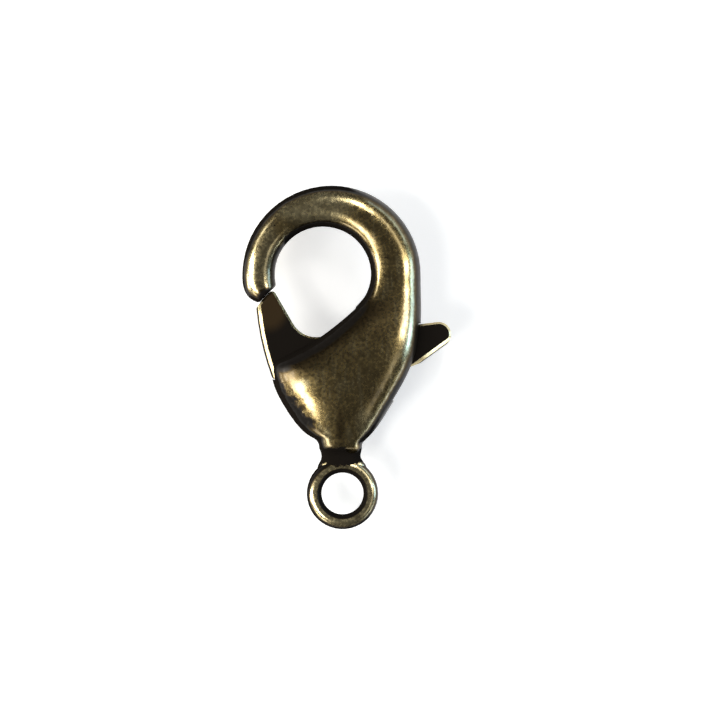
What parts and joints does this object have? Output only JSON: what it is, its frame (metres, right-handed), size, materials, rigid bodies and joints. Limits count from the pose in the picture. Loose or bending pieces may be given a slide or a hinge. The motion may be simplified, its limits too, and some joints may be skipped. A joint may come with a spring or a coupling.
{
  "type": "lobster clasp",
  "caption": "Small jewellery clasp: a pear-shaped cast hook with a round eye at its foot, closed by a sprung trigger lever with a gate and a thumb tab.",
  "frame": {"origin": "centre of the eye, half way through its thickness", "axes": "+X towards the thumb tab, +Y from the eye to the hook, +Z out of the front face; the clasp lies on its back"},
  "size_m": [0.0085, 0.0141, 0.003],
  "materials": {
    "body_brass": "antique, dark olive brown, satin with fine brush marks",
    "lever_brass": "antique, darkened faces and bright worn edges",
    "pin_brass": "antique, filed flush with the body",
    "spring_steel": "bare spring steel"
  },
  "bodies": {
    "body": {"hook_body": "body_brass", "pivot_pin": "pin_brass", "return_spring": "spring_steel"},
    "trigger": {"trigger_lever": "lever_brass"}
  },
  "joints": [
    {"name": "trigger_pivot", "type": "hinge", "parent": "body", "child": "trigger", "pos_m": [-0.0002, 0.0053, 0], "axis": [0, 0, -1], "range_deg": [0, 28], "stiffness_Nm_per_rad": 0.01, "springref_deg": -28.65, "deforming": ["return_spring"]}
  ]
}
